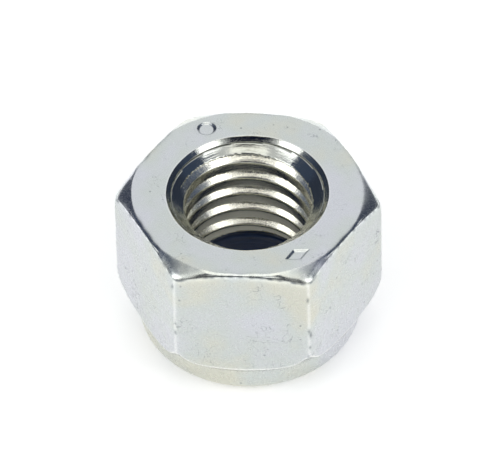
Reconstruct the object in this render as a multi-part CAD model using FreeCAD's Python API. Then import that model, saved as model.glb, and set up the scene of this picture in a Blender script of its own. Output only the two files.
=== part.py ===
import FreeCAD, Part
import math
import os

# Prevailing-torque hex nut with a nylon insert, M10 x 1.5, ISO 7040 proportions.
# All sizes in mm. Z is the thread axis, z = 0 is the collar rim and the bearing face is on top.
# The flats face 30, 90, 150 ... degrees from +X, so two corners lie on the X axis.

# hexagon
ACROSS_FLATS = 16.0
HEIGHT = 11.9
CORNER_RADIUS = 1.0            # worn vertical edges, gives 18.17 across corners

# bearing end
BEARING_RADIUS = 7.88          # flat ring that takes the load
TOP_CHAMFER_ANGLE = 28.0       # from the bearing face
COUNTERSINK_RADIUS = 5.5
COUNTERSINK_DEPTH = 1.2

# thread, right hand
PITCH = 1.5
MINOR_RADIUS = 4.3
MAJOR_RADIUS = 4.95
ROOT_WIDTH = 0.10
FLANK_ANGLE = 30.0
GROOVE_START_Z = 3.005         # groove centre on the +X side, below the end of the steel thread
GROOVE_RISE = 9.6
BORE_SEAM_ANGLE = -20.0        # where the bore surface closes on itself, has no effect on the shape

# collar end
HEX_UNDERCUT_Z = 2.8           # where the lower cone meets the middle of a flat
HEX_UNDERCUT_ANGLE = 50.0
COLLAR_RADIUS = 7.69
SHOULDER_Z = 2.43
SHOULDER_POWER = 3.0           # 2 would be a plain quarter ellipse
RIM_OUTER_RADIUS = 5.85
RIM_INNER_RADIUS = 5.55
LIP_RADIUS = 5.4
LIP_EDGE = 0.15

# recess for the insert, and the insert
RECESS_RADIUS = 6.6
RECESS_TOP_Z = 3.9
RECESS_FLOOR_Z = 1.0
RECESS_BEND_RADIUS = 1.1
INSERT_BORE_RADIUS = 4.5
INSERT_LEAD_RADIUS = 4.95
INSERT_LEAD_DEPTH = 0.7
INSERT_EXIT_EDGE = 0.25

# shallow stamped marks on the bearing face
MARK_DEPTH = 0.12
DOT_ANGLE = 117.5
LOZENGE_ANGLE = -57.5
MARK_RADIUS = 6.85             # distance of the marks from the axis
DOT_RADIUS = 0.6
LOZENGE_LENGTH = 1.9
LOZENGE_WIDTH = 1.0

AXIS = FreeCAD.Vector(0, 0, 1)
ORIGIN = FreeCAD.Vector(0, 0, 0)


def tan_deg(angle):
    return math.tan(math.radians(angle))


def at(radius, z):
    """A point of the turned section, which is drawn in the XZ plane."""
    return FreeCAD.Vector(radius, 0, z)


def line(*points):
    """Straight edges through (radius, z) points."""
    vectors = [at(*p) for p in points]
    return [Part.LineSegment(a, b).toShape() for a, b in zip(vectors, vectors[1:])]


def arc(centre, radius, start, end):
    """An arc of the turned section, with its angles in degrees from the radial direction."""
    points = []
    for angle in (start, (start + end) / 2, end):
        turn = math.radians(angle)
        points.append(at(centre[0] + radius * math.cos(turn), centre[1] + radius * math.sin(turn)))
    return Part.Arc(*points).toShape()


def turned(edges):
    """Turn a closed section about the axis."""
    face = Part.Face(Part.Wire(Part.__sortEdges__(edges)))
    solid = face.revolve(ORIGIN, AXIS, 360)
    solid.rotate(ORIGIN, AXIS, BORE_SEAM_ANGLE)
    return solid


def collar_shoulder():
    """The crimped collar's outer curve, from the rim up to the collar's full radius."""
    width = COLLAR_RADIUS - RIM_OUTER_RADIUS
    points = []
    steps = 12
    for i in range(steps + 1):
        turn = math.pi / 2 * i / steps
        across = math.sin(turn) ** (2 / SHOULDER_POWER)
        down = math.cos(turn) ** (2 / SHOULDER_POWER)
        points.append(at(RIM_OUTER_RADIUS + width * across, SHOULDER_Z * (1 - down)))
    curve = Part.BSplineCurve()
    curve.interpolate(points)
    return curve.toShape()


def make_blank():
    """The nut before its hexagon, thread and countersink are cut."""
    half = ACROSS_FLATS / 2
    outside = half / math.cos(math.radians(30)) + 1
    undercut_low = HEX_UNDERCUT_Z - (half - COLLAR_RADIUS) * tan_deg(HEX_UNDERCUT_ANGLE)
    undercut_high = HEX_UNDERCUT_Z + (outside - half) * tan_deg(HEX_UNDERCUT_ANGLE)
    chamfer_low = HEIGHT - (outside - BEARING_RADIUS) * tan_deg(TOP_CHAMFER_ANGLE)
    bend = (RECESS_RADIUS - RECESS_BEND_RADIUS, RECESS_FLOOR_Z + RECESS_BEND_RADIUS)
    edges = [collar_shoulder()]
    if undercut_low > SHOULDER_Z + 1e-6:
        edges += line((COLLAR_RADIUS, SHOULDER_Z), (COLLAR_RADIUS, undercut_low))
    edges += line(
        (COLLAR_RADIUS, max(undercut_low, SHOULDER_Z)),
        (outside, undercut_high),
        (outside, chamfer_low),
        (BEARING_RADIUS, HEIGHT),
        (MINOR_RADIUS, HEIGHT),
        (MINOR_RADIUS, RECESS_TOP_Z),
        (RECESS_RADIUS, RECESS_TOP_Z),
        (RECESS_RADIUS, bend[1]),
    )
    edges.append(arc(bend, RECESS_BEND_RADIUS, 0, -90))
    edges += line(
        (bend[0], RECESS_FLOOR_Z),
        (LIP_RADIUS, RECESS_FLOOR_Z),
        (LIP_RADIUS, LIP_EDGE),
        (RIM_INNER_RADIUS, 0),
        (RIM_OUTER_RADIUS, 0),
    )
    return turned(edges)


def make_hexagon():
    """A hexagonal bar with its vertical edges rounded."""
    reach = ACROSS_FLATS / 2 / math.cos(math.radians(30))
    corners = []
    for i in range(7):
        turn = math.radians(60 * i)
        corners.append(FreeCAD.Vector(reach * math.cos(turn), reach * math.sin(turn), -1))
    bar = Part.Face(Part.makePolygon(corners)).extrude(FreeCAD.Vector(0, 0, HEIGHT + 2))
    upright = [e for e in bar.Edges if abs(e.BoundBox.ZLength - (HEIGHT + 2)) < 1e-6]
    return bar.makeFillet(CORNER_RADIUS, upright)


def make_groove():
    """The space between the thread's crests, as one long helical solid."""
    inner = MINOR_RADIUS - 0.2
    half_root = ROOT_WIDTH / 2
    half_mouth = half_root + (MAJOR_RADIUS - inner) * tan_deg(FLANK_ANGLE)
    path = Part.makeHelix(PITCH, GROOVE_RISE, MINOR_RADIUS)
    section = Part.makePolygon([
        at(inner, -half_mouth),
        at(MAJOR_RADIUS, -half_root),
        at(MAJOR_RADIUS, half_root),
        at(inner, half_mouth),
        at(inner, -half_mouth),
    ])
    groove = Part.Wire(path).makePipeShell([section], True, True)
    groove.translate(FreeCAD.Vector(0, 0, GROOVE_START_Z))
    return groove


def make_countersink():
    """The cone that leads a bolt into the thread, drawn a little past both of its ends."""
    past = 0.3
    slope = COUNTERSINK_DEPTH / (COUNTERSINK_RADIUS - MINOR_RADIUS)
    bottom = FreeCAD.Vector(0, 0, HEIGHT - COUNTERSINK_DEPTH - past * slope)
    return Part.makeCone(
        MINOR_RADIUS - past, COUNTERSINK_RADIUS + past, COUNTERSINK_DEPTH + 2 * past * slope, bottom
    )


def make_marks():
    """Two plain stamped shapes, a dot and a lozenge, sunk into the bearing face."""
    floor = HEIGHT - MARK_DEPTH
    dot = Part.makeCylinder(DOT_RADIUS, 1, FreeCAD.Vector(MARK_RADIUS, 0, floor))
    dot.rotate(ORIGIN, AXIS, DOT_ANGLE)
    lozenge = Part.Face(Part.makePolygon([
        FreeCAD.Vector(MARK_RADIUS, -LOZENGE_LENGTH / 2, floor),
        FreeCAD.Vector(MARK_RADIUS + LOZENGE_WIDTH / 2, 0, floor),
        FreeCAD.Vector(MARK_RADIUS, LOZENGE_LENGTH / 2, floor),
        FreeCAD.Vector(MARK_RADIUS - LOZENGE_WIDTH / 2, 0, floor),
        FreeCAD.Vector(MARK_RADIUS, -LOZENGE_LENGTH / 2, floor),
    ])).extrude(FreeCAD.Vector(0, 0, 1))
    lozenge.rotate(ORIGIN, AXIS, LOZENGE_ANGLE)
    return dot.fuse(lozenge)


def make_body():
    """Zinc-plated steel nut with its collar crimped over the insert."""
    body = make_blank().common(make_hexagon())
    for tool in (make_groove(), make_countersink(), make_marks()):
        body = body.cut(tool)
    return body


def make_insert():
    """Nylon ring held in the collar. It has no thread until a bolt first cuts one."""
    bend = (RECESS_RADIUS - RECESS_BEND_RADIUS, RECESS_FLOOR_Z + RECESS_BEND_RADIUS)
    edges = line(
        (bend[0], RECESS_FLOOR_Z),
        (INSERT_BORE_RADIUS + INSERT_EXIT_EDGE, RECESS_FLOOR_Z),
        (INSERT_BORE_RADIUS, RECESS_FLOOR_Z + INSERT_EXIT_EDGE),
        (INSERT_BORE_RADIUS, RECESS_TOP_Z - INSERT_LEAD_DEPTH),
        (INSERT_LEAD_RADIUS, RECESS_TOP_Z),
        (RECESS_RADIUS, RECESS_TOP_Z),
        (RECESS_RADIUS, bend[1]),
    )
    edges.append(arc(bend, RECESS_BEND_RADIUS, 0, -90))
    return turned(edges)


os.makedirs("parts", exist_ok=True)
for name, shape in {"nut_body": make_body(), "nylon_insert": make_insert()}.items():
    solids = shape.Solids
    if len(solids) != 1 or not solids[0].isValid():
        raise RuntimeError(name + " is not one valid solid")
    solids[0].exportStep("parts/" + name + ".step")
    box = solids[0].BoundBox
    print(name, "volume", round(solids[0].Volume, 2), "box", box)
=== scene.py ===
import math

import bpy
import numpy as np
from mathutils import Matrix, Vector


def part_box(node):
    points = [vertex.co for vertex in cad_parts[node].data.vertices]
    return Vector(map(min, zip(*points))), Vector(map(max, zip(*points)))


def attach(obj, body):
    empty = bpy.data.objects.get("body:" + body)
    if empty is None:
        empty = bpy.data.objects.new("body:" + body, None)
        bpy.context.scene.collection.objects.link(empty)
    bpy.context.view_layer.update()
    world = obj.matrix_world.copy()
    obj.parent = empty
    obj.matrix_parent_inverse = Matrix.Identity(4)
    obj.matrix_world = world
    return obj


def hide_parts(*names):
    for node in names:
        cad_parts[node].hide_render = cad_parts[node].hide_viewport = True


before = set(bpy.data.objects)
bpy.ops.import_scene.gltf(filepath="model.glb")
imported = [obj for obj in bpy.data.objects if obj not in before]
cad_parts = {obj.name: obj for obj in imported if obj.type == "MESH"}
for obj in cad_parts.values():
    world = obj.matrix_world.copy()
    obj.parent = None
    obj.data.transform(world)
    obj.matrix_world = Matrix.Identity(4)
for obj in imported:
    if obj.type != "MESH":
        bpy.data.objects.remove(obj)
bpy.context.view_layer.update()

bl_info = {
    "name": "Hex lock nut with nylon insert",
    "version": (1, 0, 0),
    "blender": (4, 5, 0),
    "location": "View3D > Sidebar > Lock nut",
    "description": "Makes a zinc-plated hex lock nut with its nylon ring, and a plain studio stage",
    "category": "Object",
}

NUT_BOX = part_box("nut_body")
MM = 0.001
FULL = 2 * math.pi
TURNS_AROUND = 720          # vertices in one turn of the nut's skin
RING_AROUND = 360           # vertices in one turn of the nylon ring
PLATED, CUT = 0, 1          # the steel's two material slots

# outside of the nut, in mm
SINK_JOIN = 0.35            # depth at which the outer skin meets the bore
SINK_WEAR = 0.06            # how far plating and handling have opened the countersink
FACE_DROP = 0.03            # how far the bearing face lies below its own raised burrs
FACE_MIDDLE = 6.9           # radius in the middle of the bearing face
TOP_CHAMFER = math.tan(math.radians(28))    # fall of the top chamfer for each mm outwards
FLAT_END = 2.8              # height at which the middle of a flat ends
CORNER_OUT = 1.08           # how far a corner stands out past the middle of a flat
CORNER_RISE = 1.29          # how much higher a corner ends
SHOULDER = 2.37             # height at which the collar starts to roll in
RIM = 5.85                  # radius of the lowest line of the collar
# rows up the countersink, as parts of its height: closer together towards the worn mouth
MOUTH_STEPS = (0, 0.14, 0.28, 0.42, 0.56, 0.70, 0.84, 0.93, 0.98, 1)
LIP_ROWS = 6                # rows of the bearing face that the painted highlight on the lip of the mouth covers
EDGE_NICKS = 34             # nicks on the six upright edges together
DOT_TURN = math.radians(117.5)              # where the stamped dot lies, from the +X side
LOZENGE_TURN = math.radians(-57.5)          # where the stamped lozenge lies
# small knocks in the bearing face: x, y, radius and depth
FACE_KNOCKS = [
    (2.26, 6.42, 0.09, 0.05), (2.75, 6.25, 0.07, 0.035), (-2.2, 6.9, 0.07, 0.02),
    (5.9, 3.6, 0.09, 0.02), (7.0, 0.9, 0.07, 0.02), (-6.7, -1.2, 0.08, 0.02),
    (-6.2, 3.3, 0.10, 0.015), (-1.8, -6.9, 0.07, 0.012), (0.6, 7.0, 0.09, 0.02),
]

# thread, in mm
CREST_LEVEL = 8.56          # height of one crest over the +Y side
CREST_HALF = 0.40           # half the width of the crest
FLANK_HALF = 0.70           # from the middle of the crest to the foot of the flank
FLANK = math.tan(math.radians(40))          # run along the axis for each mm of depth
ROOT_FILL = 0.08            # how far short of the root radius the thread stays, at least
SNAP = 0.025                # thread points this near to either end of the bore join it

SMOOTH = {"interpolation_type": "SMOOTHSTEP"}
COLOUR_MIX = {"data_type": "RGBA"}


# ---------------------------------------------------------------- sizes and colours

class LockNutSizes(bpy.types.PropertyGroup):
    """Sizes of the nut and of its insert."""
    across_flats: bpy.props.FloatProperty(
        name="Across flats", description="Distance between two opposite flats",
        default=2 * NUT_BOX[1][1], unit="LENGTH", precision=5)
    height: bpy.props.FloatProperty(
        name="Height", description="From the collar's rim to the bearing face",
        default=NUT_BOX[1][2], unit="LENGTH", precision=5)
    corner: bpy.props.FloatProperty(
        name="Corner radius", description="Rounding of the six upright edges",
        default=0.0010, unit="LENGTH", precision=5)
    bearing: bpy.props.FloatProperty(
        name="Bearing radius", description="Outside of the flat ring that takes the load",
        default=0.00788, unit="LENGTH", precision=5)
    countersink: bpy.props.FloatProperty(
        name="Countersink radius", description="Mouth of the cone that leads the bolt in",
        default=0.0055, unit="LENGTH", precision=5)
    pitch: bpy.props.FloatProperty(
        name="Pitch", description="Rise of the thread in one turn",
        default=0.0015, unit="LENGTH", precision=5)
    crest: bpy.props.FloatProperty(
        name="Crest radius", description="Half of the thread's smallest diameter",
        default=0.0043, unit="LENGTH", precision=5)
    root: bpy.props.FloatProperty(
        name="Root radius", description="Half of the thread's largest diameter",
        default=0.00495, unit="LENGTH", precision=5)
    steel_end: bpy.props.FloatProperty(
        name="End of the steel thread", description="Height of the shelf that the nylon ring lies against",
        default=0.0039, unit="LENGTH", precision=5)
    collar: bpy.props.FloatProperty(
        name="Collar radius", description="Outside of the round collar at its widest",
        default=0.00769, unit="LENGTH", precision=5)
    nylon_bore: bpy.props.FloatProperty(
        name="Nylon bore radius", description="Plain hole in the nylon ring",
        default=0.0045, unit="LENGTH", precision=5)


class LockNutColours(bpy.types.PropertyGroup):
    """Colours of the plating and of the nylon, as sRGB hex values."""
    zinc_cool: bpy.props.StringProperty(
        name="Zinc, cool", description="Blue tint of the clear passivation", default="C9CECB")
    zinc_warm: bpy.props.StringProperty(
        name="Zinc, warm", description="Straw tint of the clear passivation", default="CFCFC3")
    zinc_violet: bpy.props.StringProperty(
        name="Zinc, violet", description="Faint violet tint where the film is thicker", default="CDCFD4")
    zinc_sink: bpy.props.StringProperty(
        name="Zinc in the countersink", description="Plating on the cone that leads the bolt in",
        default="BFC1BA")
    # the thread's plating is drawn lighter than zinc, lightest in the roots: painted light where the
    # groove lies in shade
    zinc_thread_with_painted_light: bpy.props.StringProperty(
        name="Zinc on the thread", description="Plating on the tapped steel", default="FAF8EA")
    scuff: bpy.props.StringProperty(
        name="Scuffs", description="Rubbed and nicked plating", default="70757A")
    # burnished plating on the edges, drawn near white so that it is also a painted highlight
    burnished_and_painted_highlight: bpy.props.StringProperty(
        name="Burnished edges", description="Plating polished by rubbing on other nuts", default="FDFDFB")
    nylon: bpy.props.StringProperty(
        name="Nylon", description="Dyed nylon ring", default="1D3660")
    floor: bpy.props.StringProperty(
        name="Floor", description="Paper that the nut stands on", default="F4F4F3")


class LockNutStage(bpy.types.PropertyGroup):
    """Camera and light."""
    azimuth: bpy.props.FloatProperty(
        name="Azimuth", description="Camera's turn from the front towards +X",
        default=math.radians(4.244), subtype="ANGLE")
    elevation: bpy.props.FloatProperty(
        name="Elevation", description="Camera's height above the floor",
        default=math.radians(45.073), subtype="ANGLE")
    roll: bpy.props.FloatProperty(
        name="Roll", description="Camera's tilt about its line of sight",
        default=math.radians(-1.321), subtype="ANGLE")
    distance: bpy.props.FloatProperty(
        name="Distance", description="From the camera to the bearing face",
        default=0.5287, unit="LENGTH")
    lens: bpy.props.FloatProperty(
        name="Lens", description="Focal length for a sensor 36 mm wide, in mm", default=561.4)
    light: bpy.props.FloatProperty(
        name="Light", description="Strength of every light together", default=1.0, min=0.0)


# ---------------------------------------------------------------- helpers

def linear(hex_colour, alpha=1.0):
    """An sRGB hex value as linear light."""
    out = []
    for i in (0, 2, 4):
        part = int(hex_colour[i:i + 2], 16) / 255
        out.append(part / 12.92 if part <= 0.04045 else ((part + 0.055) / 1.055) ** 2.4)
    return (*out, alpha)


def add_node(tree, kind, settings=None, links=None, **values):
    """Add a node, set its properties, and give each input a value or a link from a socket."""
    made = tree.nodes.new(kind)
    for key, value in (settings or {}).items():
        setattr(made, key, value)
    for key, value in list((links or {}).items()) + list(values.items()):
        socket = made.inputs[key]
        if isinstance(value, bpy.types.NodeSocket):
            tree.links.new(value, socket)
        else:
            socket.default_value = value
    return made


def wander(turn, seed, lowest, highest, size):
    """A smooth random line round the nut, which closes on itself."""
    random = np.random.RandomState(seed)
    total = np.zeros_like(turn)
    for wave in range(lowest, highest + 1):
        total += random.normal() * np.cos(wave * turn + random.uniform(0, FULL)) / math.sqrt(wave)
    spread = math.sqrt(sum(0.5 / w for w in range(lowest, highest + 1)))
    return size * total / spread


def smooth_step(value, low, high):
    """0 below low, 1 above high, and an even curve between."""
    t = np.clip((value - low) / (high - low), 0, 1)
    return t * t * (3 - 2 * t)


def soft_ramp(value, blend):
    """0 below zero and the value itself above, rounded over a width of about blend."""
    return 0.5 * (value + np.sqrt(value * value + blend ** 2))


def past_corner(turn):
    """Angle from the nearest corner of the hexagon, which has two corners on the X axis."""
    return (turn + math.pi / 6) % (math.pi / 3) - math.pi / 6


def hexagon_reach(turn, half, corner):
    """Distance from the axis to the side of the hexagon, whose corners are rounded."""
    from_corner = past_corner(turn)
    from_flat = math.pi / 6 - np.abs(from_corner)
    straight = half / np.cos(from_flat)
    centre = (half - corner) / math.cos(math.pi / 6)
    inside = np.clip(corner ** 2 - (centre * np.sin(from_corner)) ** 2, 0, None)
    rounded = centre * np.cos(from_corner) + np.sqrt(inside)
    along = half * np.tan(from_flat)
    return np.where(along > (half - corner) * math.tan(math.pi / 6), rounded, straight)


def worn_section(corners, radii, steps, bend_steps=7):
    """Rows of (radius, height) down a section whose corners are rounded.

    corners holds one (radius, height) pair of arrays for each corner, radii the rounding at each,
    and steps how many pieces each straight run is cut into. The first and last corner stay sharp.
    """
    points = [np.stack(c, 1) for c in corners]
    tangents = []
    for i in range(1, len(points) - 1):
        back, on = points[i - 1] - points[i], points[i + 1] - points[i]
        back_len = np.linalg.norm(back, axis=1)
        on_len = np.linalg.norm(on, axis=1)
        cosine = np.clip((back * on).sum(1) / (back_len * on_len), -1, 1)
        reach = radii[i] / np.tan(np.arccos(cosine) / 2)
        reach = np.minimum(reach, 0.47 * np.minimum(back_len, on_len))
        tangents.append((points[i] + back * (reach / back_len)[:, None],
                         points[i] + on * (reach / on_len)[:, None]))
    rows = [points[0]]
    here = points[0]
    for i in range(1, len(points)):
        there = tangents[i - 1][0] if i < len(points) - 1 else points[-1]
        for s in range(1, steps[i - 1] + 1):
            rows.append(here + (there - here) * s / steps[i - 1])
        if i < len(points) - 1:
            start, end = tangents[i - 1]
            for s in range(1, bend_steps):
                t = s / bend_steps
                rows.append((1 - t) ** 2 * start + 2 * t * (1 - t) * points[i] + t * t * end)
            rows.append(end)
            here = end
    return rows


def tumbled(rows, count, spread, more_spread, blend):
    """The same run of section, evenly divided, with its edges worn round by tumbling.

    spread and more_spread are how far the wear reaches in mm, and blend(even) gives, for each
    point of the divided run, a number from 0 to 1 that says which of the two holds there.
    """
    run = np.stack(rows)
    steps = np.linalg.norm(np.diff(run, axis=0), axis=2)
    along = np.concatenate([np.zeros((1, run.shape[1])), np.cumsum(steps, 0)])
    even = np.empty((count + 1, run.shape[1], 2))
    for i in range(run.shape[1]):
        places = np.linspace(0, along[-1, i], count + 1)
        for axis in (0, 1):
            even[:, i, axis] = np.interp(places, along[:, i], run[:, i, axis])
    gap = along[-1].mean() / count
    levels = []
    for width in (spread, more_spread):
        reach = int(3 * width / gap) + 1
        kernel = np.exp(-0.5 * (np.arange(-reach, reach + 1) * gap / width) ** 2)
        kernel /= kernel.sum()
        before = 2 * even[0] - even[reach:0:-1]
        after = 2 * even[-1] - even[-2:-reach - 2:-1]
        padded = np.concatenate([before, even, after])
        levels.append(sum(k * padded[n:n + count + 1] for n, k in enumerate(kernel)))
    mixed = levels[0] + (levels[1] - levels[0]) * blend(even)[:, :, None]
    mixed[0], mixed[-1] = even[0], even[-1]
    return list(mixed)


def band_faces(row, next_row, around):
    """Faces between two rows of a surface that closes on itself."""
    a, b = row * around, next_row * around
    return [(a + i, b + i, b + (i + 1) % around, a + (i + 1) % around) for i in range(around)]


def mesh_from(name, points, faces, slots, wear_dullness_and_painted_light=None):
    """A smooth-shaded mesh object from points in mm.

    The optional values give each point's mark: on the outer skin from -1 (nicks and a dark band under the
    top edge) to 1 (burnished, with a painted highlight), and on the thread its dullness, which also paints
    light into the roots.
    """
    mesh = bpy.data.meshes.new(name)
    mesh.from_pydata((np.asarray(points) * MM).tolist(), [], faces)
    mesh.polygons.foreach_set("material_index", slots)
    mesh.polygons.foreach_set("use_smooth", [True] * len(mesh.polygons))
    if wear_dullness_and_painted_light is not None:
        handled = mesh.attributes.new("wear_dullness_and_painted_light", "FLOAT", "POINT")
        handled.data.foreach_set("value", np.clip(wear_dullness_and_painted_light, -1, 1))
    mesh.update()
    made = bpy.data.objects.new(name, mesh)
    bpy.context.scene.collection.objects.link(made)
    return made


# ---------------------------------------------------------------- the plated steel

def dents(x, y, spots):
    """Depth of shallow round knocks at the given (x, y, radius, depth) spots."""
    depth = np.zeros_like(x)
    for sx, sy, radius, deep in spots:
        depth += deep * np.exp(-((x - sx) ** 2 + (y - sy) ** 2) / (2 * radius * radius))
    return depth


def stamped(x, y):
    """Depth of the two stamped marks on the bearing face, a plain dot and a plain lozenge."""
    reach = FACE_MIDDLE - 0.05
    depth = np.zeros_like(x)
    away = np.hypot(x - reach * math.cos(DOT_TURN), y - reach * math.sin(DOT_TURN))
    depth += 0.12 * (1 - smooth_step(away, 0.46, 0.66))
    depth -= 0.02 * np.exp(-((away - 0.74) / 0.07) ** 2)
    along = y * math.cos(LOZENGE_TURN) - x * math.sin(LOZENGE_TURN)
    out = x * math.cos(LOZENGE_TURN) + y * math.sin(LOZENGE_TURN) - reach
    diamond = np.abs(along) / 0.95 + np.abs(out) / 0.52
    depth += 0.11 * (1 - smooth_step(diamond, 0.66, 1.06))
    # the metal pushed aside stands up in a low burr round each mark
    depth -= 0.02 * np.exp(-((diamond - 1.16) / 0.09) ** 2) * (np.abs(out) < 1)
    return depth


def thread_rows(turn, sizes):
    """Rows of (radius, height, dullness and painted light) that follow the helix from the shelf to the
    countersink.
    """
    pitch, crest, root = sizes.pitch / MM, sizes.crest / MM, sizes.root / MM
    low, high = sizes.steel_end / MM, sizes.height / MM - SINK_JOIN
    lowest_crest = CREST_LEVEL - 0.25 * pitch        # over the +X side
    while lowest_crest > low - 1.5 * pitch:
        lowest_crest -= pitch
    across = np.concatenate([
        np.linspace(-CREST_HALF, CREST_HALF, 9)[:-1],
        np.linspace(CREST_HALF, FLANK_HALF, 7)[:-1],
        np.linspace(FLANK_HALF, pitch - FLANK_HALF, 5)[:-1],
        np.linspace(pitch - FLANK_HALF, pitch - CREST_HALF, 7)[:-1],
    ])
    tear = np.random.RandomState(11).randint(1, 9999)
    rows = []
    for whole in range(int((high - low) / pitch) + 4):
        for step in across:
            height = np.clip(lowest_crest + pitch * (whole + turn / FULL) + step, low, high)
            phase = (height - (lowest_crest + pitch * turn / FULL) + pitch / 2) % pitch - pitch / 2
            around = turn + FULL * np.round((height - lowest_crest - pitch * turn / FULL) / pitch)
            radius, dull_and_painted_light = thread_radius(height, phase, around, crest, root, tear)
            gap = sink_cone(turn, height, sizes) - radius
            wall = radius + soft_ramp(gap, 0.03)
            # the topmost rows lie on the cone itself, where the outer skin meets it
            wall -= soft_ramp(-np.abs(gap), 0.03) * smooth_step(height, high - 0.2, high)
            rows.append((wall, height, dull_and_painted_light * smooth_step(-gap, -0.02, 0.05)))
    return rows, len(across)


def thread_radius(height, phase, around, crest, root, tear):
    """Radius and dullness of the tapped thread, whose dullness also paints light into the roots. phase is
    the height past the middle of the crest.
    """
    # the tap tore burrs along the crests, most of all on the first threads
    ragged = 0.010 * np.sin(41 * around + 1.3 * np.sin(17 * around)) * np.sin(7.3 * around + 0.4)
    ragged += 0.007 * np.sin(97 * around + 2 * np.sin(23 * around + tear))
    torn = smooth_step(height, 7.6, 9.5)
    edge = CREST_HALF - 0.01 + ragged * np.where(phase < 0, 0.15 + 3 * torn, 0.1)
    radius = crest + soft_ramp((np.abs(phase) - edge) / FLANK, 0.05)
    radius -= soft_ramp(radius - root + ROOT_FILL, 0.10)
    # duller towards the root, and lighter there too: painted light for the shaded depth of the groove
    dull_and_painted_light = 0.5 + 0.5 * smooth_step(radius - crest, 0.03, 0.12)
    lip = np.exp(-((np.abs(phase) - edge + 0.05) / 0.05) ** 2)
    radius = radius - 0.012 * lip * torn * (0.6 + 0.4 * np.sin(63 * around)) * (phase < 0)
    return radius, dull_and_painted_light


def sink_cone(turn, height, sizes):
    """Radius of the countersink at a height."""
    deep = sizes.height / MM - height
    # the tool ran a little off centre, so the cone turns in less on one side
    turn_in = 0.30 - 0.28 * smooth_step(-np.sin(turn), 0.1, 0.7)
    return sizes.countersink / MM + SINK_WEAR - deep - turn_in * soft_ramp(deep - 0.5, 0.12)


def lower_edge(turn, side, half):
    """Height at which the sides of the hexagon end: pressed round, not turned to a cone."""
    out = np.clip((side - half) / CORNER_OUT, 0, 1)
    return FLAT_END + CORNER_RISE * (0.45 * out + 0.55 * out ** 3.5) + wander(turn, 5, 1, 2, 0.03)


def mouth_rows(turn, sizes):
    """Rows of (radius, height) up the countersink and out to the middle of the bearing face."""
    ones = np.ones_like(turn)
    height, sink = sizes.height / MM, sizes.countersink / MM + SINK_WEAR
    face = height - FACE_DROP
    mouth = sink - FACE_DROP + wander(turn, 6, 3, 30, 0.004)
    bite = 0.006 + 0.04 * smooth_step(-np.sin(turn), -0.1, 0.6)      # bolts enter against one side
    start = (ones * (sink - SINK_JOIN), ones * (height - SINK_JOIN))
    rows = [np.stack([start[0] + (mouth - bite - start[0]) * t,
                      start[1] + (face - bite - start[1]) * t], 1) for t in MOUTH_STEPS]
    lip = mouth + 0.8 * bite
    rows += [np.stack([lip + (FACE_MIDDLE - lip) * t, ones * face], 1)
             for t in (0, 0.02, *np.linspace(0.05, 1, 27))]
    return rows


def collar_rows(turn, collar):
    """Rows of (radius, height) down the collar, which was rolled in over the nylon ring."""
    ones = np.ones_like(turn)
    count = 22
    rows = []
    for i in range(1, count + 1):
        bend = math.pi / 2 * i / count
        across = math.cos(bend) ** (2 / 3) if i < count else 0.0
        down = math.sin(bend) ** (2 / 3)
        rows.append(np.stack([ones * (RIM + (collar - RIM) * across), ones * SHOULDER * (1 - down)], 1))
    return rows


def outside_rows(turn, sizes):
    """Rows of (radius, height) from inside the countersink, over the outside, to the recess."""
    half, face = sizes.across_flats / MM / 2, sizes.height / MM - FACE_DROP
    bearing, collar = sizes.bearing / MM, sizes.collar / MM
    side = hexagon_reach(turn, half, sizes.corner / MM) - 0.001      # leaves room for the wavy edges
    ones = np.ones_like(turn)
    join = 10.3         # height on the flats where the top edge's run meets the lower edge's
    worn_bearing = bearing + wander(turn, 3, 2, 9, 0.025) + wander(turn, 4, 20, 70, 0.006)
    chamfer_drop = (side - bearing) * TOP_CHAMFER
    soft = np.clip(0.78 + wander(turn, 8, 3, 40, 0.1), 0, 1)
    narrow = 1 - smooth_step(side - bearing, 0.16, 0.6)
    # one corner was knocked until its chamfer ran smoothly into the bearing face
    narrow = np.maximum(narrow, 0.8 * smooth_step(np.cos(turn - math.radians(4)), 0.86, 0.97))

    def near_side(even):
        return soft * np.maximum(narrow, smooth_step((face - even[:, :, 1]) / chamfer_drop, 0.15, 0.85))

    def all_along(even):
        return np.broadcast_to(soft, even.shape[:2])

    top = [(ones * FACE_MIDDLE, ones * face), (worn_bearing, ones * face),
           (side, face - chamfer_drop), (side, ones * join)]
    base = [(side, ones * join), (side, lower_edge(turn, side, half)), (ones * collar, ones * SHOULDER)]
    rows = mouth_rows(turn, sizes)
    rows += tumbled([np.stack(c, 1) for c in top], 90, 0.06, 0.42, near_side)[1:]
    rows += tumbled([np.stack(c, 1) for c in base], 64, 0.06, 0.12, all_along)[1:]
    rows += collar_rows(turn, collar)
    # the lip's underside, the hole in it, and the recess that holds the nylon ring
    inside = [(RIM, 0), (5.55, 0), (5.4, 0.15), (5.4, 1.0), (5.5, 1.0), (6.6, 2.1),
              (6.6, sizes.steel_end / MM)]
    rounding = [0, 0.08, 0.08, 0.01, 0.2, 0.5, 0]
    corners = [(ones * r, ones * z) for r, z in inside]
    rows += worn_section(corners, rounding, [2, 2, 8, 1, 6, 4], 4)[1:]
    return rows


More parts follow.
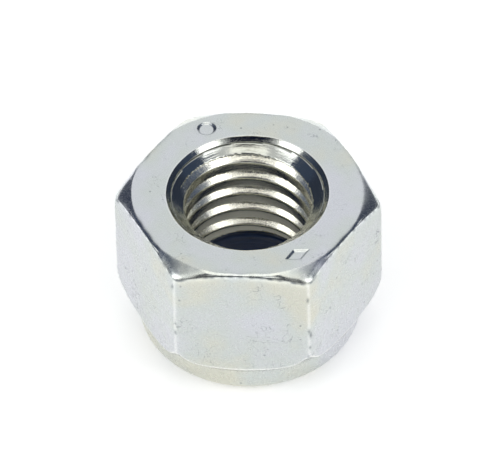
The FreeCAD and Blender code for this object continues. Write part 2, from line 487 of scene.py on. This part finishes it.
def wear_of_skin(section, turn, sizes):
    """How each point of the outer skin is marked, from -1 (nicks and a dark band) to 1 (burnished edges
    and painted highlights).
    """
    reach, level = section[:, :, 0], section[:, :, 1]
    half = sizes.across_flats / MM / 2
    side = hexagon_reach(turn, half, sizes.corner / MM)
    from_corner = past_corner(turn)
    heading = np.unwrap(np.arctan2(*np.moveaxis(np.diff(section, axis=0), 2, 0)[::-1]), axis=0)
    spacing = np.linalg.norm(section[2:] - section[:-2], axis=2) / 2
    bend = np.zeros(section.shape[:2])
    bend[1:-1] = np.abs(np.diff(heading, axis=0)) / spacing
    # every edge is lightened a little, the six upright ones more, and the lower edge most: burnished
    # plating and a painted highlight along each edge
    upright = 0.4 * np.exp(-(from_corner / math.radians(0.75)) ** 2) * (reach > 8.4)
    wear_dullness_and_painted_light = np.maximum(0.15 * smooth_step(bend, 0.9, 4.0), upright)
    below = level - lower_edge(turn, side, half) + 0.06
    rubbed = 1.0 + wander(turn, 13, 4, 40, 0.15)
    wear_dullness_and_painted_light = np.maximum(wear_dullness_and_painted_light, np.exp(-(below / 0.11) ** 2) * (reach > 7.4) * rubbed)
    # a dark band runs just under the top edge, mostly by the corners, and dark nicks sit on the upright
    # edges
    top_edge = sizes.height / MM - FACE_DROP - (side - sizes.bearing / MM) * TOP_CHAMFER
    by_corner = 0.5 * np.exp(-(from_corner / math.radians(5)) ** 2)
    density = np.clip(0.25 + wander(turn, 31, 20, 110, 0.35) + by_corner, 0, 1)
    wear_dullness_and_painted_light -= np.exp(-((level - top_edge + 0.12) / 0.09) ** 2) * (reach > 7.6) * density
    random = np.random.RandomState(5)
    for _ in range(EDGE_NICKS):
        edge = math.radians(60 * random.randint(6)) + random.normal(0, 0.012)
        middle = random.uniform(3.6, 10.8)
        tall, wide = random.uniform(0.06, 0.28), random.uniform(0.06, 0.12)
        across = np.angle(np.exp(1j * (turn - edge))) * reach
        wear_dullness_and_painted_light -= 1.1 * np.exp(-(across / wide) ** 2 - ((level - middle) / tall) ** 2) * (reach > 7.6)
    # round the countersink only the lip of its mouth is lightened: a painted highlight, a thin light line
    # round the mouth
    cone_rows = len(MOUTH_STEPS)
    lip = slice(cone_rows, cone_rows + LIP_ROWS)
    mouth = sizes.countersink / MM + SINK_WEAR - FACE_DROP
    wear_dullness_and_painted_light[lip] += 0.3 * np.exp(-((reach[lip] - mouth - 0.03) / 0.05) ** 2)
    wear_dullness_and_painted_light[:cone_rows] = 0
    return wear_dullness_and_painted_light


def skin_points(rows, turn, face):
    """Points of the outer skin, with marks and knocks sunk into a slightly wavy bearing face."""
    points = []
    for row in rows:
        radius, z = row[:, 0], row[:, 1]
        x, y = radius * np.cos(turn), radius * np.sin(turn)
        on_face = smooth_step(z, face - 0.02, face - 0.001)
        wave = 0.004 * (np.sin(1.1 * x + 0.7 * y + 1) + np.sin(0.8 * y - 1.3 * x))
        z = z - on_face * (stamped(x, y) + dents(x, y, FACE_KNOCKS) - wave)
        points.extend(np.stack([x, y, z], 1))
    return points


def thread_points(rows, turn, sizes, first):
    """Points of the thread and their dullness with its painted light, and the number of the point at each
    row and turn.

    Numbers start at first. Points pushed up to the countersink are the first row of the outer
    skin, and points pushed down onto the same place on the shelf become one.
    """
    low, high = sizes.steel_end / MM, sizes.height / MM - SINK_JOIN
    points, dullness_and_painted_light_per_point = [], []
    number = np.zeros((len(rows), TURNS_AROUND), int)
    for row, (radius, z, dull_and_painted_light) in enumerate(rows):
        for i in range(TURNS_AROUND):
            if z[i] >= high - SNAP:
                number[row, i] = i
            elif row and z[i] <= low + SNAP and rows[row - 1][1][i] <= low + SNAP:
                number[row, i] = number[row - 1, i]
            else:
                number[row, i] = first + len(points)
                points.append((radius[i] * math.cos(turn[i]), radius[i] * math.sin(turn[i]), z[i]))
                dullness_and_painted_light_per_point.append(dull_and_painted_light[i])
    return points, dullness_and_painted_light_per_point, number


def thread_faces(number, per_pitch):
    """Faces of the thread. Its rows climb one pitch in a turn, so a row meets a higher one at the seam."""
    last = TURNS_AROUND - 1
    rings = []
    for row in range(len(number) - 1):
        for i in range(last):
            rings.append((number[row, i], number[row, i + 1], number[row + 1, i + 1], number[row + 1, i]))
        if row + 1 + per_pitch < len(number):
            rings.append((number[row, last], number[row + per_pitch, 0],
                          number[row + 1 + per_pitch, 0], number[row + 1, last]))
    # under the seam's lowest face the first column reaches one pitch further down than the last
    for row in range(per_pitch):
        rings.append((number[0, last], number[row, 0], number[row + 1, 0]))
    faces = []
    for ring in rings:
        kept = [int(c) for n, c in enumerate(ring) if c != ring[n - 1]]
        if len(set(kept)) >= 3:
            faces.append(tuple(kept))
    return faces


def make_skin(sizes):
    """The whole steel skin as one closed surface: its points, faces, slots, and each point's marks,
    dullness and painted light.
    """
    turn = np.arange(TURNS_AROUND) * FULL / TURNS_AROUND
    outer = outside_rows(turn, sizes)
    inner, per_pitch = thread_rows(turn, sizes)
    points = skin_points(outer, turn, sizes.height / MM - FACE_DROP)
    faces, slots = [], []
    for row in range(len(outer) - 1):
        faces += band_faces(row, row + 1, TURNS_AROUND)
        slots += [CUT if row < len(MOUTH_STEPS) else PLATED] * TURNS_AROUND
    tapped, dullness_and_painted_light_per_point, number = thread_points(inner, turn, sizes, len(points))
    points.extend(tapped)
    thread = thread_faces(number, per_pitch)
    faces += thread
    slots += [CUT] * len(thread)
    # the shelf, from the top of the recess to the lowest row of the thread
    shelf = (len(outer) - 1) * TURNS_AROUND
    for i in range(TURNS_AROUND):
        j = (i + 1) % TURNS_AROUND
        faces.append((shelf + i, int(number[0, i]), int(number[0, j]), shelf + j))
        slots.append(PLATED)
    wear_dullness_and_painted_light = wear_of_skin(np.stack(outer), turn, sizes)
    return points, faces, slots, np.concatenate([wear_dullness_and_painted_light.ravel(), dullness_and_painted_light_per_point])


def nylon_rows(turn, sizes):
    """Rows of (radius, height) round the nylon ring's section."""
    ones = np.ones_like(turn)
    bore = sizes.nylon_bore / MM + wander(turn, 21, 2, 6, 0.012)
    top = sizes.steel_end / MM - 0.015
    corners = [
        (ones * 6.3, ones * top), (ones * 4.95, ones * top), (bore, ones * (top - 0.62)),
        (bore, ones * 1.2), (bore + 0.3, ones * 0.93), (ones * 5.36, ones * 0.9),
        (ones * 5.38, ones * 1.06), (ones * 5.5, ones * 1.08), (ones * 6.52, ones * 2.15),
        (ones * 6.56, ones * (top - 0.2)), (ones * 6.3, ones * top),
    ]
    rounding = [0, 0.08, 0.12, 0.1, 0.12, 0.1, 0.02, 0.02, 0.4, 0.1, 0]
    rows = worn_section(corners, rounding, [4, 36, 12, 3, 4, 2, 1, 6, 6, 2], 5)
    # two fine witness rings left on the sloping mouth when the ring was moulded
    for row in rows:
        on_slope = smooth_step(row[:, 1], top - 0.7, top - 0.5) * (row[:, 0] < 4.94)
        for reach in (4.78, 4.56):
            row[:, 1] += 0.03 * on_slope * np.exp(-((row[:, 0] - reach) / 0.035) ** 2)
    return rows


def make_ring(sizes):
    """The nylon ring as one closed surface."""
    turn = np.arange(RING_AROUND) * FULL / RING_AROUND
    rows = nylon_rows(turn, sizes)[:-1]
    points, faces = [], []
    for number, row in enumerate(rows):
        points.extend(np.stack([row[:, 0] * np.cos(turn), row[:, 0] * np.sin(turn), row[:, 1]], 1))
        faces += band_faces(number, (number + 1) % len(rows), RING_AROUND)
    return points, faces, [0] * len(faces)


# ---------------------------------------------------------------- materials

def start_material(name):
    """A new material with its shader, and its coordinates in mm."""
    material = bpy.data.materials.new(name)
    material.use_nodes = True
    tree = material.node_tree
    tree.nodes.clear()
    out = add_node(tree, "ShaderNodeOutputMaterial")
    shader = add_node(tree, "ShaderNodeBsdfPrincipled")
    tree.links.new(shader.outputs[0], out.inputs["Surface"])
    place = add_node(tree, "ShaderNodeTexCoord").outputs["Object"]
    mm = add_node(tree, "ShaderNodeVectorMath", {"operation": "SCALE"},
                  {0: place, "Scale": 1 / MM}).outputs[0]
    return material, tree, shader, mm


def passivated_tint(tree, mm, colours):
    """Colour of the passivation: blue, straw and violet clouds about 5 mm wide."""
    cloud = add_node(tree, "ShaderNodeTexNoise", None,
                     {"Vector": mm, "Scale": 1 / 5.0, "Detail": 3.0, "Roughness": 0.55})
    # the film dried thicker near the collar and under the top edge, where it looks more like straw
    place = add_node(tree, "ShaderNodeSeparateXYZ", None, {0: mm})
    level = add_node(tree, "ShaderNodeMath", {"operation": "DIVIDE"}, {0: place.outputs["Z"], 1: 12.0})
    film = add_node(tree, "ShaderNodeValToRGB", None, {"Fac": level.outputs[0]})
    grey = film.color_ramp.elements
    grey[0].position, grey[0].color = 0.18, (0.41, 0.41, 0.41, 1)
    grey[1].position, grey[1].color = 0.98, (0.52, 0.52, 0.52, 1)
    for part, tone in ((0.25, 0.5), (0.58, 0.5), (0.84, 0.44), (0.93, 0.44)):
        grey.new(part).color = (tone, tone, tone, 1)
    tint = add_node(tree, "ShaderNodeMath", {"operation": "ADD"},
                    {0: cloud.outputs["Fac"], 1: film.outputs["Color"]})
    # the four flats that hung sideways in the bath took a thicker, more violet film
    sideways = add_node(tree, "ShaderNodeMath", {"operation": "ABSOLUTE"}, {0: place.outputs["X"]})
    hung = add_node(tree, "ShaderNodeMapRange", SMOOTH,
                    {"Value": sideways.outputs[0], "From Min": 4.6, "From Max": 5.6,
                     "To Min": 0.5, "To Max": 0.42})
    shifted = add_node(tree, "ShaderNodeMath", {"operation": "SUBTRACT"},
                       {0: tint.outputs[0], 1: hung.outputs[0]})
    ramp = add_node(tree, "ShaderNodeValToRGB", None, {"Fac": shifted.outputs[0]})
    stops = ramp.color_ramp.elements
    stops[0].position, stops[0].color = 0.34, linear(colours.zinc_warm)
    stops[1].position, stops[1].color = 0.66, linear(colours.zinc_violet)
    stops.new(0.50).color = linear(colours.zinc_cool)
    return ramp.outputs["Color"]


def scuffs(tree, mm):
    """Hairline scuffs, thin where a noise 0.9 mm wide crosses its middle, and only in patches."""
    slow = add_node(tree, "ShaderNodeTexNoise", None,
                    {"Vector": mm, "Scale": 1 / 0.9, "Detail": 2.5, "Roughness": 0.6, "Distortion": 0.8})
    centred = add_node(tree, "ShaderNodeMath", {"operation": "SUBTRACT"}, {0: slow.outputs["Fac"], 1: 0.5})
    near = add_node(tree, "ShaderNodeMath", {"operation": "ABSOLUTE"}, {0: centred.outputs[0]})
    hair = add_node(tree, "ShaderNodeMapRange", SMOOTH,
                    {"Value": near.outputs[0], "From Min": 0.002, "From Max": 0.014,
                     "To Min": 1.0, "To Max": 0.0})
    patch = add_node(tree, "ShaderNodeTexNoise", None, {"Vector": mm, "Scale": 1 / 1.7, "Detail": 2.0})
    # the front flat was rubbed by another nut
    aside = add_node(tree, "ShaderNodeVectorMath", {"operation": "DISTANCE"}, {0: mm, 1: (1.6, -8.0, 5.4)})
    rubbed = add_node(tree, "ShaderNodeMapRange", SMOOTH,
                      {"Value": aside.outputs["Value"], "From Min": 0.4, "From Max": 2.6,
                       "To Min": 0.16, "To Max": 0.0})
    likely = add_node(tree, "ShaderNodeMath", {"operation": "ADD"},
                      {0: patch.outputs["Fac"], 1: rubbed.outputs[0]})
    shown = add_node(tree, "ShaderNodeMapRange", SMOOTH,
                     {"Value": likely.outputs[0], "From Min": 0.54, "From Max": 0.66})
    scuffed = add_node(tree, "ShaderNodeMath", {"operation": "MULTIPLY"},
                       {0: hair.outputs[0], 1: shown.outputs[0]})
    return scuffed.outputs[0]


def nicks(tree, mm):
    """Small flecks: about one 0.8 mm cell in four holds one."""
    cells = add_node(tree, "ShaderNodeTexVoronoi", None, {"Vector": mm, "Scale": 1 / 0.8})
    fleck = add_node(tree, "ShaderNodeMapRange", SMOOTH,
                     {"Value": cells.outputs["Distance"], "From Min": 0.05, "From Max": 0.14,
                      "To Min": 1.0, "To Max": 0.0})
    pick = add_node(tree, "ShaderNodeSeparateColor", None, {"Color": cells.outputs["Color"]})
    chosen = add_node(tree, "ShaderNodeMath", {"operation": "GREATER_THAN"}, {0: pick.outputs[0], 1: 0.72})
    nicked = add_node(tree, "ShaderNodeMath", {"operation": "MULTIPLY"},
                      {0: fleck.outputs[0], 1: chosen.outputs[0]})
    return nicked.outputs[0]


def zinc_on_forged_steel(colours):
    """Electroplated zinc, clear passivated, over a cold-formed steel blank.

    The eye sees a bright satin metal with faint blue, straw and violet clouds a few mm wide,
    hairline scuffs, and small grey nicks from other nuts in the plating barrel. The plating's
    grain and peel are drawn at 0.35 and 0.5 mm, coarser than the real ones, so that they show.
    """
    material, tree, shader, mm = start_material("zinc_plate_on_cold_formed_steel")
    tint = passivated_tint(tree, mm, colours)
    # the attribute carries nicks, wear, a dark band, and a painted highlight on the edges and on the
    # mouth's lip
    wear_dullness_and_painted_light = add_node(tree, "ShaderNodeAttribute", {"attribute_name": "wear_dullness_and_painted_light"}).outputs["Fac"]
    dark_edge = add_node(tree, "ShaderNodeMath", {"operation": "MULTIPLY"}, {0: wear_dullness_and_painted_light, 1: -1.7})
    flaws = add_node(tree, "ShaderNodeMath", {"operation": "MAXIMUM"},
                     {0: scuffs(tree, mm), 1: nicks(tree, mm)})
    marks = add_node(tree, "ShaderNodeMath", {"operation": "MAXIMUM"},
                     {0: flaws.outputs[0], 1: dark_edge.outputs[0]})
    faint = add_node(tree, "ShaderNodeMath", {"operation": "MULTIPLY"}, {0: marks.outputs[0], 1: 0.55})
    marked = add_node(tree, "ShaderNodeMix", COLOUR_MIX,
                      {0: faint.outputs[0], 6: tint, 7: linear(colours.scuff)})
    # towards near white on the edges: burnished plating and a painted highlight
    edged = add_node(tree, "ShaderNodeMix", COLOUR_MIX,
                     {0: wear_dullness_and_painted_light, 6: marked.outputs[2], 7: linear(colours.burnished_and_painted_highlight)})
    tree.links.new(edged.outputs[2], shader.inputs["Base Color"])
    shader.inputs["Metallic"].default_value = 1.0
    grain = add_node(tree, "ShaderNodeTexNoise", None, {"Vector": mm, "Scale": 1 / 0.35, "Detail": 4.0})
    rough = add_node(tree, "ShaderNodeMapRange", None,
                     {"Value": grain.outputs["Fac"], "From Min": 0.3, "From Max": 0.7,
                      "To Min": 0.23, "To Max": 0.30})
    tree.links.new(rough.outputs[0], shader.inputs["Roughness"])
    peel = add_node(tree, "ShaderNodeTexNoise", None, {"Vector": mm, "Scale": 1 / 0.5, "Detail": 3.0})
    raised = add_node(tree, "ShaderNodeMath", {"operation": "SUBTRACT"},
                      {0: peel.outputs["Fac"], 1: marks.outputs[0]})
    bump = add_node(tree, "ShaderNodeBump", None,
                    {"Strength": 0.045, "Distance": 0.02 * MM, "Height": raised.outputs[0]})
    tree.links.new(bump.outputs[0], shader.inputs["Normal"])
    return material


def zinc_on_cut_steel(colours):
    """The same plating over tapped and countersunk steel.

    A cutting tool leaves the steel smooth, so the eye sees a mirror with streaks about 0.2 mm
    high and 3 mm long that run round the bore, and small torn spots.
    """
    material, tree, shader, mm = start_material("zinc_plate_on_tapped_steel")
    stretched = add_node(tree, "ShaderNodeVectorMath", {"operation": "MULTIPLY"},
                         {0: mm, 1: (0.35, 0.35, 6.0)})
    streak = add_node(tree, "ShaderNodeTexNoise", None,
                      {"Vector": stretched.outputs[0], "Scale": 1.0, "Detail": 5.0, "Roughness": 0.65})
    spots = add_node(tree, "ShaderNodeTexNoise", None, {"Vector": mm, "Scale": 1 / 0.25, "Detail": 4.0})
    # on the cut surfaces the attribute is 0 on the cone and rises to 1 in the root of the thread, where it
    # makes the plating duller and paints light in, lighter towards the root
    dull_and_painted_light = add_node(tree, "ShaderNodeAttribute", {"attribute_name": "wear_dullness_and_painted_light"}).outputs["Fac"]
    colour = add_node(tree, "ShaderNodeMix", COLOUR_MIX,
                      {0: dull_and_painted_light, 6: linear(colours.zinc_sink), 7: linear(colours.zinc_thread_with_painted_light)})
    tree.links.new(colour.outputs[2], shader.inputs["Base Color"])
    shader.inputs["Metallic"].default_value = 1.0
    rough = add_node(tree, "ShaderNodeMapRange", None,
                     {"Value": spots.outputs["Fac"], "From Min": 0.35, "From Max": 0.7,
                      "To Min": 0.08, "To Max": 0.16})
    duller = add_node(tree, "ShaderNodeMath", {"operation": "MULTIPLY_ADD"},
                      {0: dull_and_painted_light, 1: 0.14, 2: rough.outputs[0]})
    tree.links.new(duller.outputs[0], shader.inputs["Roughness"])
    mixed = add_node(tree, "ShaderNodeMath", {"operation": "MULTIPLY_ADD"},
                     {0: spots.outputs["Fac"], 1: 0.35, 2: streak.outputs["Fac"]})
    bump = add_node(tree, "ShaderNodeBump", None,
                    {"Strength": 0.4, "Distance": 0.03 * MM, "Height": mixed.outputs[0]})
    tree.links.new(bump.outputs[0], shader.inputs["Normal"])
    return material


def dyed_nylon(colours):
    """Moulded polyamide dyed dark blue.

    The eye sees a nearly black ring with a soft sheen, and faint rings left by the tool that bored it.
    """
    material, tree, shader, mm = start_material("moulded_polyamide_dark_blue")
    flat = add_node(tree, "ShaderNodeVectorMath", {"operation": "MULTIPLY"}, {0: mm, 1: (0.2, 0.2, 3.0)})
    rings = add_node(tree, "ShaderNodeTexNoise", None,
                     {"Vector": flat.outputs[0], "Scale": 1.0, "Detail": 3.0, "Roughness": 0.6})
    tone = add_node(tree, "ShaderNodeMapRange", None,
                    {"Value": rings.outputs["Fac"], "From Min": 0.3, "From Max": 0.7,
                     "To Min": 0.8, "To Max": 1.25})
    colour = add_node(tree, "ShaderNodeMix", {"data_type": "RGBA", "blend_type": "MULTIPLY"},
                      {0: 1.0, 6: linear(colours.nylon), 7: tone.outputs[0]})
    tree.links.new(colour.outputs[2], shader.inputs["Base Color"])
    shader.inputs["Roughness"].default_value = 0.24
    shader.inputs["IOR"].default_value = 1.53
    bump = add_node(tree, "ShaderNodeBump", None,
                    {"Strength": 1.0, "Distance": 0.12 * MM, "Height": rings.outputs["Fac"]})
    tree.links.new(bump.outputs[0], shader.inputs["Normal"])
    return material


# ---------------------------------------------------------------- stage

def direction(azimuth, elevation):
    """A unit vector from the nut, with azimuth from the front towards +X, in degrees."""
    a, e = math.radians(azimuth), math.radians(elevation)
    return Vector((math.sin(a) * math.cos(e), -math.cos(a) * math.cos(e), math.sin(e)))


def soft_box(name, azimuth, elevation, distance, size, radiance, colour):
    """A square soft box that faces the nut. Its brightness is the same at any size."""
    lamp = bpy.data.lights.new(name, "AREA")
    lamp.shape = "RECTANGLE"
    lamp.size, lamp.size_y = size
    lamp.energy = radiance * math.pi * size[0] * size[1]
    lamp.color = linear(colour)[:3]
    made = bpy.data.objects.new(name, lamp)
    towards = direction(azimuth, elevation)
    made.location = towards * distance
    made.rotation_euler = towards.to_track_quat("Z", "Y").to_euler()
    bpy.context.scene.collection.objects.link(made)
    return made


def paint_surroundings(strength):
    """A pale studio dome with darker gaps between the soft boxes."""
    world = bpy.data.worlds.new("studio_dome")
    world.use_nodes = True
    tree = world.node_tree
    tree.nodes.clear()
    out = add_node(tree, "ShaderNodeOutputWorld")
    way = add_node(tree, "ShaderNodeTexCoord").outputs["Generated"]
    unit = add_node(tree, "ShaderNodeVectorMath", {"operation": "NORMALIZE"}, {0: way}).outputs[0]
    colour = linear("F2F4F6")
    # azimuth, elevation, and the angles from its middle at which a gap is darkest and gone
    gaps = [
        (0, 38, 17, 22, "101830"), (13, 36, 15, 20, "101830"), (-13, 36, 15, 20, "101830"),
        (120, 22, 25, 38, "3B4355"), (-120, 22, 25, 38, "3B4355"),
        (92, 42, 16, 26, "46536C"), (-92, 42, 16, 26, "46536C"),
    ]
    for azimuth, elevation, inner, outer, shade in gaps:
        facing = add_node(tree, "ShaderNodeVectorMath", {"operation": "DOT_PRODUCT"},
                          {0: unit, 1: direction(azimuth, elevation)})
        amount = add_node(tree, "ShaderNodeMapRange", SMOOTH,
                          {"Value": facing.outputs["Value"], "From Min": math.cos(math.radians(outer)),
                           "From Max": math.cos(math.radians(inner))})
        mixed = add_node(tree, "ShaderNodeMix", COLOUR_MIX,
                         {0: amount.outputs[0], 6: colour, 7: linear(shade)})
        colour = mixed.outputs[2]
    seen = add_node(tree, "ShaderNodeBackground", None, {"Color": linear("FAFAFA"), "Strength": 1.0})
    lit = add_node(tree, "ShaderNodeBackground", None, {"Color": colour, "Strength": strength})
    rays = add_node(tree, "ShaderNodeLightPath").outputs["Is Camera Ray"]
    both = add_node(tree, "ShaderNodeMixShader", None, {0: rays, 1: lit.outputs[0], 2: seen.outputs[0]})
    tree.links.new(both.outputs[0], out.inputs["Surface"])
    bpy.context.scene.world = world


def make_floor(colour):
    """A large round sheet of pale paper that glows: painted light that fills in the nut's shadow on it,
    and a painted shade under the nut, where it doesn't glow.
    """
    radius, below = 1500, -0.02
    turns = np.linspace(0, FULL, 97)[:-1]
    rim = [(radius * math.cos(t), radius * math.sin(t), below) for t in turns]
    floor = mesh_from("floor", rim, [tuple(range(len(rim)))], [0])
    material, tree, shader, mm = start_material("matt_white_paper")
    shader.inputs["Base Color"].default_value = linear(colour)
    shader.inputs["Roughness"].default_value = 1.0
    shader.inputs["Specular IOR Level"].default_value = 0.0
    shader.inputs["Emission Color"].default_value = linear("FFFFFF")
    away = add_node(tree, "ShaderNodeVectorMath", {"operation": "LENGTH"}, {0: mm})
    painted_glow_round_nut = add_node(tree, "ShaderNodeMapRange", SMOOTH,
                    {"Value": away.outputs["Value"], "From Min": 5.2, "From Max": 6.2, "To Max": 0.38})
    far = add_node(tree, "ShaderNodeMapRange", SMOOTH,
                   {"Value": away.outputs["Value"], "From Min": 20.0, "From Max": 60.0, "To Max": 0.45})
    # painted light: the sheet glows round the nut, filling in its shadow, and most well away from it;
    # under the nut it doesn't glow, a painted shade
    both = add_node(tree, "ShaderNodeMath", {"operation": "ADD"}, {0: painted_glow_round_nut.outputs[0], 1: far.outputs[0]})
    tree.links.new(both.outputs[0], shader.inputs["Emission Strength"])
    floor.data.materials.append(material)
    return floor


def place_camera(stage, height):
    """The camera, aimed a little below the middle of the bearing face."""
    a, e, roll = stage.azimuth, stage.elevation, stage.roll
    back = Vector((math.sin(a) * math.cos(e), -math.cos(a) * math.cos(e), math.sin(e)))
    right = Vector((math.cos(a), math.sin(a), 0))
    up = back.cross(right)
    turned_right = math.cos(roll) * right + math.sin(roll) * up
    turned_up = math.cos(roll) * up - math.sin(roll) * right
    aside, lower = 0.163 * MM, 2.805 * MM
    aim = Vector((0, 0, height)) + aside * turned_right - lower * turned_up
    lens = bpy.data.cameras.new("camera")
    lens.lens = stage.lens
    lens.sensor_width = 36
    lens.clip_start, lens.clip_end = 0.01, 10
    camera = bpy.data.objects.new("camera", lens)
    spin = Matrix((turned_right, turned_up, back)).transposed().to_4x4()
    camera.matrix_world = Matrix.Translation(aim + back * stage.distance) @ spin
    bpy.context.scene.collection.objects.link(camera)
    bpy.context.scene.camera = camera


# ---------------------------------------------------------------- operators and panel

class MakeNutBody(bpy.types.Operator):
    """Make the plated steel nut"""
    bl_idname = "lock_nut.make_body"
    bl_label = "Steel nut"

    def execute(self, context):
        sizes, colours = context.scene.lock_nut_sizes, context.scene.lock_nut_colours
        body = mesh_from("plated_nut_body", *make_skin(sizes))
        body.data.materials.append(zinc_on_forged_steel(colours))
        body.data.materials.append(zinc_on_cut_steel(colours))
        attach(body, "root")
        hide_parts("nut_body")
        return {"FINISHED"}


class MakeNylonRing(bpy.types.Operator):
    """Make the nylon ring in the collar"""
    bl_idname = "lock_nut.make_ring"
    bl_label = "Nylon ring"

    def execute(self, context):
        points, faces, slots = make_ring(context.scene.lock_nut_sizes)
        ring = mesh_from("nylon_locking_ring", points, faces, slots)
        ring.data.materials.append(dyed_nylon(context.scene.lock_nut_colours))
        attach(ring, "root")
        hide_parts("nylon_insert")
        return {"FINISHED"}


class MakeStage(bpy.types.Operator):
    """Make the floor, the light and the camera"""
    bl_idname = "lock_nut.make_stage"
    bl_label = "Stage"

    def execute(self, context):
        scene = context.scene
        stage = scene.lock_nut_stage
        make_floor(scene.lock_nut_colours.floor)
        paint_surroundings(0.93 * stage.light)
        soft_box("overhead_soft_box", 0, 76, 0.6, (0.42, 0.46), 0.9 * stage.light, "FFFBF0")
        soft_box("back_soft_box", 180, 45, 0.6, (0.5, 0.45), 0.17 * stage.light, "FFFFFF")
        soft_box("left_soft_box", -60, 35, 0.6, (0.25, 0.28), 2.45 * stage.light, "FFFFFF")
        soft_box("right_soft_box", 60, 35, 0.6, (0.25, 0.28), 2.45 * stage.light, "FFFFFF")
        place_camera(stage, scene.lock_nut_sizes.height)
        scene.view_settings.view_transform = "Standard"
        return {"FINISHED"}


class LockNutPanel(bpy.types.Panel):
    """Lists the pieces and their settings"""
    bl_idname = "VIEW3D_PT_lock_nut"
    bl_label = "Lock nut"
    bl_space_type = "VIEW_3D"
    bl_region_type = "UI"
    bl_category = "Lock nut"

    def draw(self, context):
        for made in PIECES:
            self.layout.operator(made.bl_idname)
        for group in GROUPS:
            box = self.layout.box()
            settings = getattr(context.scene, group)
            for key in settings.__annotations__:
                box.prop(settings, key)


PIECES = (MakeNutBody, MakeNylonRing, MakeStage)
GROUPS = {
    "lock_nut_sizes": LockNutSizes,
    "lock_nut_colours": LockNutColours,
    "lock_nut_stage": LockNutStage,
}
CLASSES = (*GROUPS.values(), *PIECES, LockNutPanel)


def register():
    for made in CLASSES:
        bpy.utils.register_class(made)
    for name, group in GROUPS.items():
        setattr(bpy.types.Scene, name, bpy.props.PointerProperty(type=group))


def unregister():
    for name in GROUPS:
        delattr(bpy.types.Scene, name)
    for made in reversed(CLASSES):
        bpy.utils.unregister_class(made)


def main():
    register()
    bpy.ops.lock_nut.make_body()
    bpy.ops.lock_nut.make_ring()
    bpy.ops.lock_nut.make_stage()


if __name__ == "__main__":
    main()
